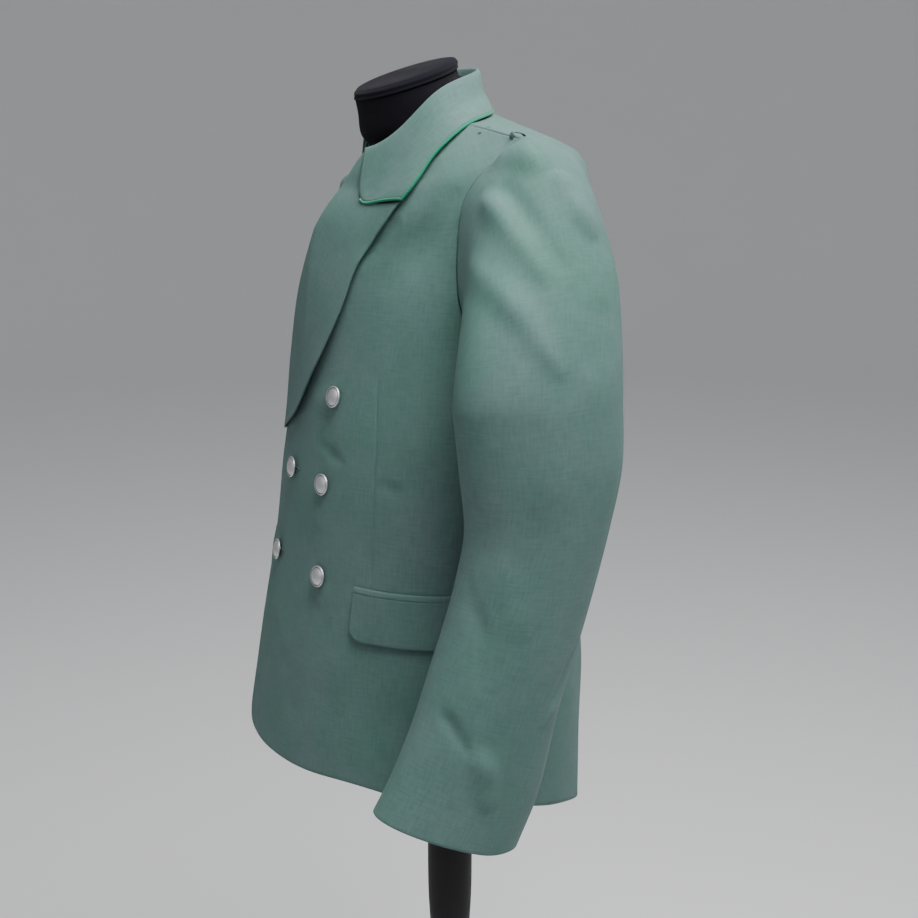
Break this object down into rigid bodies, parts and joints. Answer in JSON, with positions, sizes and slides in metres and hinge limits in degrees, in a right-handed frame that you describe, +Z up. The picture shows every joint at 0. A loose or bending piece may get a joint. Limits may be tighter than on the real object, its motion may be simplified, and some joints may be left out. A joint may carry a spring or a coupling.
{
  "type": "double-breasted military tunic on a limbless dress form and pole stand",
  "caption": "Grey-green wool tunic with peaked lapels, piped collar and domed buttons, shown on a limbless dress form on a pole stand.",
  "frame": {"origin": "centre of the stand foot's underside, on the floor", "axes": "+Z up; the tunic faces -Y; the wearer's left is +X"},
  "size_m": [0.6312, 0.418, 1.5208],
  "materials": {
    "tunic_cloth": "fine wool twill with a dry, faint sheen",
    "collar_piping": "matte wool cord in emerald green",
    "button_metal": "satin, slightly dulled",
    "form_covering": "black jersey stretched over the form",
    "stand_paint": "satin black"
  },
  "bodies": {
    "root": {"back_left": "tunic_cloth", "back_right": "tunic_cloth", "front_left": "tunic_cloth", "front_right": "tunic_cloth", "lapel_left": "tunic_cloth", "lapel_right": "tunic_cloth", "collar": "tunic_cloth", "collar_piping": "collar_piping", "sleeve_left_top": "tunic_cloth", "sleeve_left_under": "tunic_cloth", "sleeve_right_top": "tunic_cloth", "sleeve_right_under": "tunic_cloth", "pocket_welt_left": "tunic_cloth", "pocket_welt_right": "tunic_cloth", "pocket_flap_left": "tunic_cloth", "pocket_flap_right": "tunic_cloth", "strap_loop_left": "tunic_cloth", "strap_loop_right": "tunic_cloth", "button_1": "button_metal", "button_2": "button_metal", "button_3": "button_metal", "button_4": "button_metal", "button_5": "button_metal", "form_torso": "form_covering", "form_neck_cap": "form_covering", "stand_foot": "stand_paint", "stand_hub": "stand_paint", "stand_pole": "stand_paint"}
  },
  "joints": []
}
